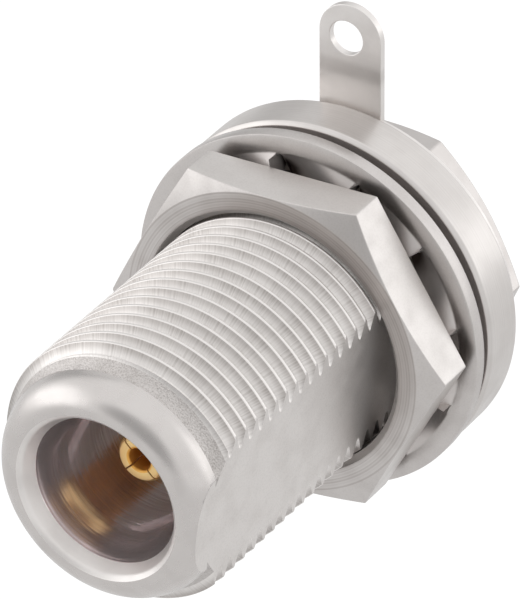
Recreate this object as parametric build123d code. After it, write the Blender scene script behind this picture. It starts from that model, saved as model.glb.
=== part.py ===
from build123d import *
from math import asin, atan, cos, hypot, radians, sin, tan
import os

os.makedirs("parts", exist_ok=True)

# Bulkhead jack of the N series, 50 ohm, for a panel or a chassis wall.
# The connector's axis runs along Y. The mating face looks towards -Y, the solder pot towards +Y,
# and the ground lug stands up along +Z. The origin is on the axis, on the front face of the
# panel ring, where the panel seats. All lengths are in millimetres and all angles in degrees.
# Turned pieces are half sections in the XY plane (X is the radius) revolved about the Y axis.

# ---- barrel and thread ----
THREAD_MAJOR_D = 15.8        # 5/8-24 UNEF crest diameter
THREAD_DEPTH = 0.615         # crest to root, on the radius
THREAD_LEAD_IN = 0.25        # length of the first flank in front of the thread
FLAT_DEPTH = 1.66            # how far the D-flat cuts in below the crest circle
FLAT_ANGLE = -6.3            # direction that the flat faces, from +X towards +Z
FLAT_PAST_SEAT = 1.2         # the flat runs this far behind the panel seat
FACE_TO_SEAT = 24.07         # mating face to panel seat

# ---- nose ----
NOSE_ROUND_LENGTH = 1.95     # axial length of the outer rounding
NOSE_ROUND_CONES = 3         # the rounding is turned as this many short cones
LIP_WIDTH = 0.65             # from the mouth's wall out to the crest of the nose
LIP_BREAK_WIDTH = 0.40       # where the lip's two chamfers meet, from the crest
LIP_BREAK_LENGTH = 0.28
BEAD_STEP = 0.95             # bead's edge below the thread's crest, on the radius
CONE_RISE = 0.555            # cone from the step up to the thread's root, on the radius
CONE_ANGLE = 32.0            # cone's slope against the axis

# ---- bores of the outer conductor ----
FRONT_BORE_D = 8.10
MOUTH_WIDENING = 0.45        # mouth of the front bore, on the radius
MOUTH_DEPTH = 1.0            # mating face to the mouth's edge, where the taper starts
MOUTH_TAPER_ANGLE = 10.0     # taper from the mouth down to the front bore
REFERENCE_DEPTH = 9.15       # mating face to reference plane
AIR_LINE_D = 7.0             # outer conductor behind the reference plane
AIR_LINE_LENGTH = 2.5
INSULATOR_BORE_D = 10.0

# ---- hexagonal flange at the rear ----
FLANGE_OVER_BARREL = 0.4     # flats of the hexagon above the thread's crest
FLANGE_LENGTH = 3.14
FLANGE_TURN = 3.3            # first corner's direction, from +X towards +Z
FLANGE_CHAMFER_INSET = 0.07  # chamfer circle inside the flats, on the radius
FLANGE_CHAMFER_ANGLE = 30.0  # against the rear face

# ---- panel ring and ground lug ----
RING_INSET = 0.1             # ring's edge inside the lock washer's, on the radius
RING_THICKNESS = 3.05
RING_CHAMFER = 0.23          # on the front edge
BARREL_CLEARANCE = 0.10      # ring and lug over the barrel, on the radius
LUG_THICKNESS = 0.46
LUG_EYE_WIDTH = 2.6          # round part that goes over the barrel, on the radius
LUG_TAB_WIDTH = 4.02
LUG_HOLE_D = 2.13
LUG_HOLE_STANDOUT = 4.3      # hole's centre above the ring's edge
LUG_HOLE_OFFSET = -0.25      # hole beside the tab's centre line, towards +X
LUG_END_OFFSET = 0.15        # end rounding's centre beyond the hole's centre

# ---- lock washer ----
WASHER_OVERHANG = 0.18       # washer's edge beyond the nut's corners
WASHER_SHEET = 0.89
WASHER_FREE_HEIGHT = 2.59    # over the twisted teeth
WASHER_RIM_WIDTH = 1.15
WASHER_TEETH = 12
TOOTH_REACH_CLEARANCE = 0.30 # tooth tip to barrel, on the radius
TOOTH_WIDTH = 3.75           # at the root
TOOTH_TIP_WIDTH = 3.35       # of the straight blade inside the bend
TOOTH_BEND_LENGTH = 0.75     # radial length in which the tooth turns to its full twist
TOOTH_TURN = 23.5            # first tooth's direction, from +X towards +Z
STACK_GAP = 0.04             # washer to ring and washer to nut

# ---- panel nut ----
NUT_OVER_BARREL = 1.6        # flats of the nut above the thread's crest
NUT_THICKNESS = 3.0
NUT_TURN = 1.8               # first corner's direction, from +X towards +Z
NUT_CHAMFER_INSET = 0.05     # chamfer circle inside the flats, on the radius
NUT_CHAMFER_ANGLE = 24.1     # against the front face
NUT_THREAD_CLEARANCE = 0.06  # nut over the barrel, on the radius
NUT_COUNTERSINK = 0.37       # 45 degree countersink of the thread at the front

# ---- centre contact ----
CONTACT_D = 3.04
CONTACT_STANDOUT = 4.65      # tip ahead of the reference plane
CONTACT_BEVEL = 0.24         # at the tip, on the radius
CONTACT_BEVEL_LENGTH = 0.35
CONTACT_BORE_D = 1.66
FINGER_CLOSING = 0.145       # how far the fingers' tips close in, on the radius
CONTACT_LIP_LENGTH = 0.45
CONTACT_NECK_LENGTH = 0.8    # from the lip back to the full bore
CONTACT_BORE_DEPTH = 6.2
SLOT_COUNT = 4
SLOT_WIDTH = 0.25
SLOT_LENGTH = 5.0
SLOT_TURN = 45.0             # first slot's direction, from +X towards +Z
COLLAR_HEIGHT = 1.08         # above the stem
COLLAR_LENGTH = 1.2
POT_LENGTH = 4.4             # solder pot behind the rear insulator
POT_WALL = 0.47
POT_HOLE_DEPTH = 3.4
POT_VENT_D = 0.8             # cross hole where the solder shows

# ---- insulators and bush ----
BEAD_CLEARANCE = 0.02        # insulators in the bore and over the contact, on the radius
COLLAR_TO_FLANGE = 2.4       # contact collar's rear face ahead of the flange's front face
BUSH_LENGTH = 1.8
BUSH_WALL = 1.5
SPIGOT_STANDOUT = 1.0        # rear insulator behind the flange's rear face

# ---- radii and stations that follow from the sizes ----
barrel_r = THREAD_MAJOR_D / 2
root_r = barrel_r - THREAD_DEPTH
bead_r = barrel_r - BEAD_STEP
cone_r = root_r - CONE_RISE
flat_r = barrel_r - FLAT_DEPTH
over_barrel_r = barrel_r + BARREL_CLEARANCE
bore_r = INSULATOR_BORE_D / 2
contact_r = CONTACT_D / 2
front_bore_r = FRONT_BORE_D / 2
mouth_r = front_bore_r + MOUTH_WIDENING
crest_r = mouth_r + LIP_WIDTH
nut_flat_r = barrel_r + NUT_OVER_BARREL
nut_corner_r = nut_flat_r / cos(radians(30))
flange_flat_r = barrel_r + FLANGE_OVER_BARREL
flange_corner_r = flange_flat_r / cos(radians(30))
washer_r = nut_corner_r + WASHER_OVERHANG
ring_r = washer_r - RING_INSET

y_seat = 0.0
y_face = y_seat - FACE_TO_SEAT
y_bead = y_face + NOSE_ROUND_LENGTH
y_root = y_bead + CONE_RISE / tan(radians(CONE_ANGLE))
y_thread = y_root + THREAD_LEAD_IN
y_reference = y_face + REFERENCE_DEPTH
y_insulator = y_reference + AIR_LINE_LENGTH
y_lug = y_seat + RING_THICKNESS
y_flange = y_lug + LUG_THICKNESS
y_rear = y_flange + FLANGE_LENGTH
y_collar_rear = y_flange - COLLAR_TO_FLANGE
y_collar = y_collar_rear - COLLAR_LENGTH
y_bush = y_rear - BUSH_LENGTH
y_spigot = y_rear + SPIGOT_STANDOUT
y_tip = y_reference - CONTACT_STANDOUT
y_pot = y_spigot + POT_LENGTH
y_washer = y_seat - STACK_GAP
y_nut = y_washer - WASHER_FREE_HEIGHT - STACK_GAP


def turned(*corners):
    """Solid of revolution about Y from the (radius, station) corners of its half section."""
    return revolve(make_face(Polyline(*corners, close=True)), Axis.Y)


def facing(angle, height=0.0, station=0.0):
    """Place on the axis, turned so that local +X points at the angle from +X towards +Z."""
    return Pos(0, station, 0) * Rot(0, -angle, 0) * Pos(height, 0, 0)


def hexagon(corner_r, turn, y_from, y_to):
    """Hexagonal prism along Y whose first corner points at the given direction."""
    profile = Plane.XZ * RegularPolygon(corner_r, 6)
    prism = Pos(0, y_to, 0) * extrude(profile, y_to - y_from)
    return Rot(0, -turn, 0) * prism


def save(name, shape, colour):
    """Write one piece to its own STEP file."""
    shape.label = name
    shape.color = Color(*colour)
    export_step(shape, f"parts/{name}.step")


# ---- outer body: nose, barrel and hexagonal flange in one piece ----
y_mouth = y_face + MOUTH_DEPTH
y_taper_end = y_mouth + MOUTH_WIDENING / tan(radians(MOUTH_TAPER_ANGLE))
chamfer_r = flange_flat_r - FLANGE_CHAMFER_INSET
chamfer_rise = (flange_corner_r - chamfer_r) * tan(radians(FLANGE_CHAMFER_ANGLE))

nose_turns = [radians(90 * k / NOSE_ROUND_CONES) for k in range(NOSE_ROUND_CONES + 1)]
nose_round = [
    (crest_r + (bead_r - crest_r) * sin(t), y_bead - NOSE_ROUND_LENGTH * cos(t)) for t in nose_turns
]
outer_body = turned(
    *nose_round,
    (cone_r, y_bead),
    (root_r, y_root),
    (barrel_r, y_thread),
    (barrel_r, y_flange),
    (flange_corner_r, y_flange),
    (flange_corner_r, y_rear - chamfer_rise),
    (chamfer_r, y_rear),
    (bore_r, y_rear),
    (bore_r, y_insulator),
    (AIR_LINE_D / 2, y_insulator),
    (AIR_LINE_D / 2, y_reference),
    (front_bore_r, y_reference),
    (front_bore_r, y_taper_end),
    (mouth_r, y_mouth),
    (crest_r - LIP_BREAK_WIDTH, y_face + LIP_BREAK_LENGTH),
)

# The D-flat keeps the jack from turning in a D-shaped panel hole.
flat_length = FACE_TO_SEAT + FLAT_PAST_SEAT
flat_cutter = facing(FLAT_ANGLE, flat_r, y_face) * Box(
    FLAT_DEPTH * 2, flat_length, THREAD_MAJOR_D, align=(Align.MIN, Align.MIN, Align.CENTER))
outer_body -= flat_cutter

# The round flange blank is milled to a hexagon.
flange_blank = turned((0, y_flange), (flange_corner_r, y_flange), (flange_corner_r, y_rear), (0, y_rear))
outer_body -= flange_blank - hexagon(flange_corner_r, FLANGE_TURN, y_flange, y_rear)
save("outer_body", outer_body, (0.78, 0.78, 0.77))

# ---- panel ring ----
panel_ring = turned(
    (over_barrel_r, y_seat),
    (ring_r - RING_CHAMFER, y_seat),
    (ring_r, y_seat + RING_CHAMFER),
    (ring_r, y_lug),
    (over_barrel_r, y_lug),
)
save("panel_ring", panel_ring, (0.72, 0.72, 0.70))

# ---- ground lug ----
hole_height = ring_r + LUG_HOLE_STANDOUT
tab_end = hole_height + LUG_END_OFFSET
lug_face = Circle(over_barrel_r + LUG_EYE_WIDTH)
lug_face += Pos(0, tab_end / 2) * Rectangle(LUG_TAB_WIDTH, tab_end)
lug_face += Pos(0, tab_end) * Circle(LUG_TAB_WIDTH / 2)
lug_face -= Circle(over_barrel_r)
lug_face -= Pos(LUG_HOLE_OFFSET, hole_height) * Circle(LUG_HOLE_D / 2)
ground_lug = Pos(0, y_flange, 0) * extrude(Plane.XZ * lug_face, LUG_THICKNESS)
save("ground_lug", ground_lug, (0.70, 0.70, 0.69))

# ---- lock washer: a flat rim with teeth twisted about their own radial lines ----
tooth_root_r = washer_r - WASHER_RIM_WIDTH
tooth_tip_r = barrel_r + TOOTH_REACH_CLEARANCE
y_sheet = y_washer - WASHER_FREE_HEIGHT / 2
twist = asin(WASHER_FREE_HEIGHT / hypot(TOOTH_TIP_WIDTH, WASHER_SHEET)) - atan(WASHER_SHEET / TOOTH_TIP_WIDTH)
bend_end_r = tooth_root_r - TOOTH_BEND_LENGTH


def tooth_corners(radius, width, angle):
    """Corners of a tooth's section at the radius, turned by the angle about the radial line."""
    half_w, half_t = width / 2, WASHER_SHEET / 2
    flat = [(-half_w, -half_t), (half_w, -half_t), (half_w, half_t), (-half_w, half_t)]
    return [
        Vector(radius, y_sheet + u * sin(angle) + v * cos(angle), u * cos(angle) - v * sin(angle))
        for u, v in flat
    ]


def folded(outer, inner):
    """Solid between two four-cornered sections, with each side folded along a diagonal."""
    faces = [Face(Wire.make_polygon(outer)), Face(Wire.make_polygon(inner))]
    for k in range(4):
        a, b = outer[k - 1], outer[k]
        c, d = inner[k], inner[k - 1]
        faces += [Face(Wire.make_polygon([a, b, c])), Face(Wire.make_polygon([a, c, d]))]
    return Solid(Shell(faces))


root_corners = tooth_corners(tooth_root_r, TOOTH_WIDTH, 0)
bend_corners = tooth_corners(bend_end_r, TOOTH_TIP_WIDTH, twist)
tip_corners = tooth_corners(tooth_tip_r, TOOTH_TIP_WIDTH, twist)
root = Pos(tooth_root_r, y_sheet, 0) * Box(
    WASHER_RIM_WIDTH / 2, WASHER_SHEET, TOOTH_WIDTH, align=(Align.MIN, Align.CENTER, Align.CENTER))
tooth = root + folded(root_corners, bend_corners) + folded(bend_corners, tip_corners)
washer_rim = turned(
    (tooth_root_r, y_sheet - WASHER_SHEET / 2),
    (washer_r, y_sheet - WASHER_SHEET / 2),
    (washer_r, y_sheet + WASHER_SHEET / 2),
    (tooth_root_r, y_sheet + WASHER_SHEET / 2),
)
pitch = 360 / WASHER_TEETH
teeth = [Rot(0, -(TOOTH_TURN + pitch * k), 0) * tooth for k in range(WASHER_TEETH)]
lock_washer = washer_rim + teeth
save("lock_washer", lock_washer, (0.80, 0.80, 0.79))

# ---- panel nut ----
nut_bore_r = barrel_r + NUT_THREAD_CLEARANCE
nut_chamfer_r = nut_flat_r - NUT_CHAMFER_INSET
nut_chamfer_rise = (nut_corner_r - nut_chamfer_r) * tan(radians(NUT_CHAMFER_ANGLE))
y_nut_front = y_nut - NUT_THICKNESS
hex_nut = hexagon(nut_corner_r, NUT_TURN, y_nut_front, y_nut) & turned(
    (nut_bore_r + NUT_COUNTERSINK, y_nut_front),
    (nut_chamfer_r, y_nut_front),
    (nut_corner_r, y_nut_front + nut_chamfer_rise),
    (nut_corner_r, y_nut),
    (nut_bore_r, y_nut),
    (nut_bore_r, y_nut_front + NUT_COUNTERSINK),
)
save("hex_nut", hex_nut, (0.80, 0.80, 0.79))

# ---- centre contact: slotted socket, stem, collar and solder pot in one piece ----
tip_r = contact_r - CONTACT_BEVEL
socket_r = CONTACT_BORE_D / 2
closed_r = socket_r - FINGER_CLOSING
pot_hole_r = contact_r - POT_WALL
collar_r = contact_r + COLLAR_HEIGHT
y_lip = y_tip + CONTACT_LIP_LENGTH
y_socket_end = y_tip + CONTACT_BORE_DEPTH
y_pot_floor = y_pot - POT_HOLE_DEPTH
centre_contact = turned(
    (closed_r, y_tip),
    (tip_r, y_tip),
    (contact_r, y_tip + CONTACT_BEVEL_LENGTH),
    (contact_r, y_collar),
    (collar_r, y_collar),
    (collar_r, y_collar_rear),
    (contact_r, y_collar_rear),
    (contact_r, y_pot),
    (pot_hole_r, y_pot),
    (pot_hole_r, y_pot_floor),
    (0, y_pot_floor),
    (0, y_socket_end),
    (socket_r, y_socket_end),
    (socket_r, y_lip + CONTACT_NECK_LENGTH),
    (closed_r, y_lip),
)
for k in range(SLOT_COUNT):
    centre_contact -= facing(SLOT_TURN + k * 360 / SLOT_COUNT, 0, y_tip) * Box(
        CONTACT_D, SLOT_LENGTH, SLOT_WIDTH, align=(Align.MIN, Align.MIN, Align.CENTER))
centre_contact -= Pos(0, y_pot_floor + POT_VENT_D, 0) * Cylinder(
    POT_VENT_D / 2, CONTACT_D, align=(Align.CENTER, Align.CENTER, Align.MIN))
save("centre_contact", centre_contact, (0.85, 0.70, 0.42))

# ---- insulators on both sides of the contact's collar ----
bead_outer_r = bore_r - BEAD_CLEARANCE
bead_inner_r = contact_r + BEAD_CLEARANCE
collar_seat_r = collar_r + BEAD_CLEARANCE
front_insulator = turned(
    (bead_inner_r, y_insulator),
    (bead_outer_r, y_insulator),
    (bead_outer_r, y_collar_rear),
    (collar_seat_r, y_collar_rear),
    (collar_seat_r, y_collar),
    (bead_inner_r, y_collar),
)
save("front_insulator", front_insulator, (0.93, 0.93, 0.92))

bush_bore_r = bore_r - BUSH_WALL
spigot_r = bush_bore_r - BEAD_CLEARANCE
rear_insulator = turned(
    (bead_inner_r, y_collar_rear),
    (bead_outer_r, y_collar_rear),
    (bead_outer_r, y_bush),
    (spigot_r, y_bush),
    (spigot_r, y_spigot),
    (bead_inner_r, y_spigot),
)
save("rear_insulator", rear_insulator, (0.93, 0.93, 0.92))

# ---- bush pressed in flush with the flange's rear face ----
retaining_bush = turned(
    (bush_bore_r, y_bush),
    (bore_r, y_bush),
    (bore_r, y_rear),
    (bush_bore_r, y_rear),
)
save("retaining_bush", retaining_bush, (0.76, 0.75, 0.70))
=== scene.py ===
"""A bulkhead jack of the N series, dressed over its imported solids.

The jack's axis runs along Y: the mating face looks towards -Y, the solder pot towards +Y and the
ground lug stands up along +Z. Sizes in the classes are millimetres and degrees; Blender's own
lengths are metres. An angle about the axis runs from +X towards +Z.
"""
import logging
from dataclasses import dataclass
from enum import Enum, IntEnum
from math import atan2, cos, hypot, pi, radians, sin, sqrt, tan
from typing import Any, Callable, Sequence, Union

import bmesh
import bpy
from mathutils import Matrix, Vector


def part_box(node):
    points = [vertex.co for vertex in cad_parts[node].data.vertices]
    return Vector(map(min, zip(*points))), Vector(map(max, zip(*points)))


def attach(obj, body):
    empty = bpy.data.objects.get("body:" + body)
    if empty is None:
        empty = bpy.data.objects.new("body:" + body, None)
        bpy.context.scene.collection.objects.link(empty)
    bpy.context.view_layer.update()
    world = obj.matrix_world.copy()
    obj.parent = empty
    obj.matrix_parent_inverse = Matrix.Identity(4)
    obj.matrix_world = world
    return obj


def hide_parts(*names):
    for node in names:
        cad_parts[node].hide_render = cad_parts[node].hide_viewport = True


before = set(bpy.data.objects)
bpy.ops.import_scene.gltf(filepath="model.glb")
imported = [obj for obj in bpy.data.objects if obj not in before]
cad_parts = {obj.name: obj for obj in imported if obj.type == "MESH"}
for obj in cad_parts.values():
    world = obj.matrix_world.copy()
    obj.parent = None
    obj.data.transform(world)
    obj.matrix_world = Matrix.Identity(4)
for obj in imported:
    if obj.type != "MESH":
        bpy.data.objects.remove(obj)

log = logging.getLogger("jack")

MM = 0.001

Colour = tuple[float, float, float]
Direction = tuple[float, float, float]
Corner = tuple[float, float, float]      # radius, station, rounding
Spot = tuple[float, float]               # radius, station
Between = tuple[float, float]            # where a smooth step starts and ends


def stations(node: str) -> Spot:
    """The lowest and highest station of a CAD node, in millimetres."""
    low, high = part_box(node)
    return low.y / MM, high.y / MM


def reach(node: str) -> float:
    """The largest radius about the axis that stays in a CAD node's box, in millimetres."""
    low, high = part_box(node)
    return min(high.x, -low.x, high.z, -low.z) / MM


SILVER: Colour = (0.635, 0.605, 0.588)
# the plating painted lighter, as painted light
LIGHTER_PAINTED_SILVER: Colour = (0.71, 0.68, 0.66)
GOLD: Colour = (0.98, 0.70, 0.32)

NUT_REAR = stations("hex_nut")[1]
WASHER_MIDDLE = sum(stations("lock_washer")) / 2
CONTACT_TIP = stations("centre_contact")[0]
PAINTED_BAND_BELOW_END = 4.1                   # painted shade and painted highlight across the flat tab, standing for a faint bend
# line between the lug's painted shade band and painted highlight band
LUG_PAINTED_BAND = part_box("ground_lug")[1].z / MM - PAINTED_BAND_BELOW_END
THREAD_MIDDLE_R = 7.6                    # radius at which ticks round the axis are spaced

MARKED: Between = (0.38, 0.66)           # steps over noise that varies round 0.5
PATCHED: Between = (0.38, 0.60)
CLOUDED: Between = (0.35, 0.75)
SPECKED: Between = (0.44, 0.66)
LEAST_ROUGHNESS = 0.04


class Body(Enum):
    """The bodies of the jack that pieces ride on."""

    JACK = "body"
    WASHER = "washer"
    NUT = "nut"


class Lay(Enum):
    """Which way the marks of the tool run on a metal face."""

    STATION = "rings that follow each other along the axis"
    RADIUS = "rings that follow each other outwards on a flat face"
    TICKS = "short ticks that follow each other round the axis"
    UPRIGHT = "lines that follow each other across the piece, along X"
    LENGTH = "lines that follow each other up the piece, along Z"


class Work(Enum):
    """What one body does to another."""

    JOIN = "UNION"
    CUT = "DIFFERENCE"
    TRIM = "INTERSECT"


class BodyFace(IntEnum):
    """The outer body's finishes, in the order of its materials."""

    NOSE = 0
    CONE = 1
    THREAD = 2
    FLAT = 3
    BORE = 4
    FLANGE = 5
    LIP = 6


class NutFace(IntEnum):
    """The nut's finishes, in the order of its materials."""

    END = 0
    SIDE = 1
    BORE = 2
    CORNER = 3


# --- Shader graphs ---


class Value:
    """A number's socket in a shader graph that can be used in plain arithmetic."""

    def __init__(self, graph: "Graph", socket: bpy.types.NodeSocket) -> None:
        """Keeps the graph that the socket belongs to, and the socket."""
        self.graph = graph
        self.socket = socket

    def _maths(self, operation: str, *terms: "Term") -> "Value":
        """One Math node.

        Args:
            operation: the Math node's operation.
            terms: its inputs in order.

        Returns:
            The node's result.
        """
        node = self.graph.node("ShaderNodeMath", {"operation": operation}, dict(enumerate(terms)))
        return Value(self.graph, node.outputs[0])

    def __add__(self, other: "Term") -> "Value":
        """The node of self + other."""
        return self._maths("ADD", self, other)

    def __radd__(self, other: "Term") -> "Value":
        """The node of other + self."""
        return self._maths("ADD", other, self)

    def __sub__(self, other: "Term") -> "Value":
        """The node of self - other."""
        return self._maths("SUBTRACT", self, other)

    def __rsub__(self, other: "Term") -> "Value":
        """The node of other - self."""
        return self._maths("SUBTRACT", other, self)

    def __mul__(self, other: "Term") -> "Value":
        """The node of self * other."""
        return self._maths("MULTIPLY", self, other)

    def __rmul__(self, other: "Term") -> "Value":
        """The node of other * self."""
        return self._maths("MULTIPLY", other, self)

    def root(self) -> "Value":
        """The square root."""
        return self._maths("SQRT", self)

    def angle_of(self, across: "Value") -> "Value":
        """The angle of the point (across, self), in radians."""
        return self._maths("ARCTAN2", self, across)

    def most(self, other: "Term") -> "Value":
        """The larger of the two."""
        return self._maths("MAXIMUM", self, other)

    def step(self, low: float, high: float) -> "Value":
        """A smooth step.

        Args:
            low: where the result is still 0.
            high: from where on the result is 1.

        Returns:
            A value from 0 to 1.
        """
        settings = {"interpolation_type": "SMOOTHSTEP"}
        inputs = {"Value": self, "From Min": low, "From Max": high}
        return Value(self.graph, self.graph.node("ShaderNodeMapRange", settings, inputs).outputs[0])


Term = Union[Value, float]


@dataclass(frozen=True)
class Place:
    """Where a shaded point is on the jack, in millimetres and radians."""

    point: bpy.types.NodeSocket
    x: Value
    y: Value
    z: Value
    radius: Value
    angle: Value


class Graph:
    """The nodes of one material or world."""

    def __init__(self, owner: Union[bpy.types.Material, bpy.types.World]) -> None:
        """Empties the owner's node tree.

        Args:
            owner: the material or world whose nodes are made here.
        """
        owner.use_nodes = True
        self.tree = owner.node_tree
        self.tree.nodes.clear()

    def node(self, kind: str, settings: dict[str, Any], inputs: dict[Any, Any]) -> bpy.types.Node:
        """Any node.

        Args:
            kind: the node's type.
            settings: its properties, which are set first.
            inputs: a value, socket, number or colour for each named or numbered input.

        Returns:
            The new node.
        """
        node = self.tree.nodes.new(kind)
        for name, setting in settings.items():
            setattr(node, name, setting)
        for name, given in inputs.items():
            source = given.socket if isinstance(given, Value) else given
            if isinstance(source, bpy.types.NodeSocket):
                self.tree.links.new(source, node.inputs[name])
            else:
                node.inputs[name].default_value = source
        return node

    def place(self) -> Place:
        """Finds the shaded point on the piece.

        Returns:
            Its place, from the piece's own coordinates.
        """
        coordinates = self.node("ShaderNodeTexCoord", {}, {})
        scaled = self.node(
            "ShaderNodeVectorMath", {"operation": "SCALE"},
            {0: coordinates.outputs["Object"], "Scale": 1 / MM})
        parts = self.node("ShaderNodeSeparateXYZ", {}, {0: scaled.outputs[0]})
        x, y, z = (Value(self, socket) for socket in parts.outputs)
        return Place(scaled.outputs[0], x, y, z, (x * x + z * z).root(), z.angle_of(x))

    def grain(self, place: Place, size: float, detail: float = 2.0) -> Value:
        """Cloudy noise round 0.5.

        Args:
            place: the shaded point.
            size: width of its blotches in millimetres.
            detail: how many finer layers it has.

        Returns:
            A value from 0 to 1.
        """
        inputs = {"Vector": place.point, "Scale": 1 / size, "Detail": detail}
        return Value(self, self.node("ShaderNodeTexNoise", {}, inputs).outputs[0])

    def streaks(self, along: Value, spacing: float, detail: float = 1.0) -> Value:
        """Lines of uneven depth that follow each other.

        Args:
            along: the coordinate across the lines, in millimetres.
            spacing: their rough distance in millimetres.
            detail: how many finer layers they have.

        Returns:
            A value from 0 to 1.
        """
        inputs = {"W": along, "Scale": 1 / spacing, "Detail": detail}
        node = self.node("ShaderNodeTexNoise", {"noise_dimensions": "1D"}, inputs)
        return Value(self, node.outputs[0])

    def blend(self, share: Term, first: Colour, second: Colour) -> bpy.types.NodeSocket:
        """A mix of two colours.

        Args:
            share: how much of the second one shows, from 0 to 1.
            first: colour at 0.
            second: colour at 1.

        Returns:
            The colour's socket.
        """
        factor, colour_a, colour_b, colour = 0, 6, 7, 2      # the Mix node's sockets for colours
        inputs = {factor: share, colour_a: (*first, 1.0), colour_b: (*second, 1.0)}
        return self.node("ShaderNodeMix", {"data_type": "RGBA"}, inputs).outputs[colour]

    def bump(self, height: Value) -> bpy.types.NodeSocket:
        """The normal of a surface raised by a height in millimetres."""
        inputs = {"Strength": 1.0, "Distance": MM, "Height": height}
        return self.node("ShaderNodeBump", {}, inputs).outputs[0]

    def surface(self, **inputs: Any) -> None:
        """Puts a Principled shader on the output.

        Args:
            inputs: what its sockets get, each named by its words joined with _.
        """
        named = {name.replace("_", " ").title(): given for name, given in inputs.items()}
        shader = self.node("ShaderNodeBsdfPrincipled", {}, named)
        self.node("ShaderNodeOutputMaterial", {}, {"Surface": shader.outputs[0]})


# --- Finishes ---


@dataclass(frozen=True)
class PaintedLight:
    """Painted light: a change of colour across a face towards the colour of stains and painted
    shade, or back from it as a painted highlight.
    """

    lay: Lay                 # the coordinate that it follows
    low: float               # where it starts, in millimetres
    high: float              # where it is complete
    share: float             # how far it goes; below 0 it clears stains and painted shade, a painted highlight


@dataclass(frozen=True)
class MetalFinish:
    """A plated metal face with the marks of the tool that made it."""

    name: str
    colour: Colour = SILVER
    # colour of stains and of painted shade
    stain_and_shade: Colour = (0.36, 0.33, 0.31)
    stain_share: float = 0.10        # slow clouds
    line_stain: float = 0.0          # darker in the tool's lines
    speckle: float = 0.0             # fine dark specks
    # painted shade and painted highlight across the face
    painted_light: tuple[PaintedLight, ...] = ()
    metallic: float = 1.0
    roughness: float = 0.18
    dulling: float = 0.08            # how far the roughness wanders
    lay: Lay = Lay.STATION
    line_spacing: float = 0.12
    line_height: float = 0.0006
    patchy: float = 0.0              # how far the lines come and go
    patch_size: float = 1.3
    grain_size: float = 0.25
    grain_height: float = 0.0008
    cloud_size: float = 1.7
    wave_size: float = 2.0           # slow waviness under the plating
    wave_height: float = 0.004

    @staticmethod
    def _along(lay: Lay, place: Place) -> Value:
        """The coordinate that a lay follows.

        Args:
            lay: which way the marks or a change run.
            place: the shaded point.

        Returns:
            The coordinate in millimetres.
        """
        return {
            Lay.STATION: place.y,
            Lay.RADIUS: place.radius,
            Lay.TICKS: place.angle * THREAD_MIDDLE_R,
            Lay.UPRIGHT: place.x,
            Lay.LENGTH: place.z,
        }[lay]

    def _stain_and_shade(self, graph: Graph, place: Place, clouds: Value, marks: Value) -> Value:
        """How much of the stains and of the painted shade shows.

        Args:
            graph: the material's nodes.
            place: the shaded point.
            clouds: the slow clouds.
            marks: where the tool's lines are deep.

        Returns:
            The share of stains and painted shade in the colour.
        """
        share = clouds * self.stain_share
        if self.line_stain:
            share = share + marks * self.line_stain
        if self.speckle:
            specks = graph.grain(place, self.grain_size * 0.8, 2.0).step(*SPECKED)
            share = share + specks * self.speckle
        for fade in self.painted_light:
            across = self._along(fade.lay, place)
            share = share + across.step(fade.low, fade.high) * fade.share
        return share

    def material(self) -> bpy.types.Material:
        """Makes the finish.

        Returns:
            The finished material.
        """
        made = bpy.data.materials.new(self.name)
        graph = Graph(made)
        place = graph.place()
        lines = graph.streaks(self._along(self.lay, place), self.line_spacing, detail=2.0)
        marks = lines.step(*MARKED)
        if self.patchy:
            kept = graph.grain(place, self.patch_size).step(*PATCHED)
            patches = 1 - self.patchy + self.patchy * kept
            lines, marks = lines * patches, marks * patches
        grain = graph.grain(place, self.grain_size, detail=3.0)
        waves = graph.grain(place, self.wave_size, detail=0.0)
        clouds = graph.grain(place, self.cloud_size, detail=3.0).step(*CLOUDED)
        # stains, plus painted shade and painted highlight
        stain_and_shade = self._stain_and_shade(graph, place, clouds, marks)
        height = lines * self.line_height + grain * self.grain_height + waves * self.wave_height
        line_dulling = self.dulling * 0.8
        rough = self.roughness + clouds * self.dulling + (lines - 0.5) * line_dulling
        graph.surface(
            base_color=graph.blend(stain_and_shade, self.colour, self.stain_and_shade),
            metallic=self.metallic,
            roughness=rough.most(LEAST_ROUGHNESS),
            normal=graph.bump(height),
        )
        return made


@dataclass(frozen=True)
class PlasticFinish:
    """White turned plastic, slightly waxy."""

    name: str
    colour: Colour = (0.90, 0.90, 0.88)
    shade: Colour = (0.80, 0.79, 0.76)
    shade_share: float = 0.5
    roughness: float = 0.42
    dulling: float = 0.16            # how far the roughness wanders
    translucency: float = 0.15
    scatter_length: float = 0.8
    ring_spacing: float = 0.14
    ring_height: float = 0.002
    cloud_size: float = 1.2
    cloud_height: float = 0.003

    def material(self) -> bpy.types.Material:
        """Makes the finish.

        Returns:
            The finished material.
        """
        made = bpy.data.materials.new(self.name)
        graph = Graph(made)
        place = graph.place()
        rings = graph.streaks(place.radius, self.ring_spacing)
        clouds = graph.grain(place, self.cloud_size)
        graph.surface(
            base_color=graph.blend(clouds * self.shade_share, self.colour, self.shade),
            roughness=self.roughness + clouds * self.dulling,
            subsurface_weight=self.translucency,
            subsurface_scale=self.scatter_length * MM,
            normal=graph.bump(rings * self.ring_height + clouds * self.cloud_height),
        )
        return made


# --- Forms ---


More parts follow.
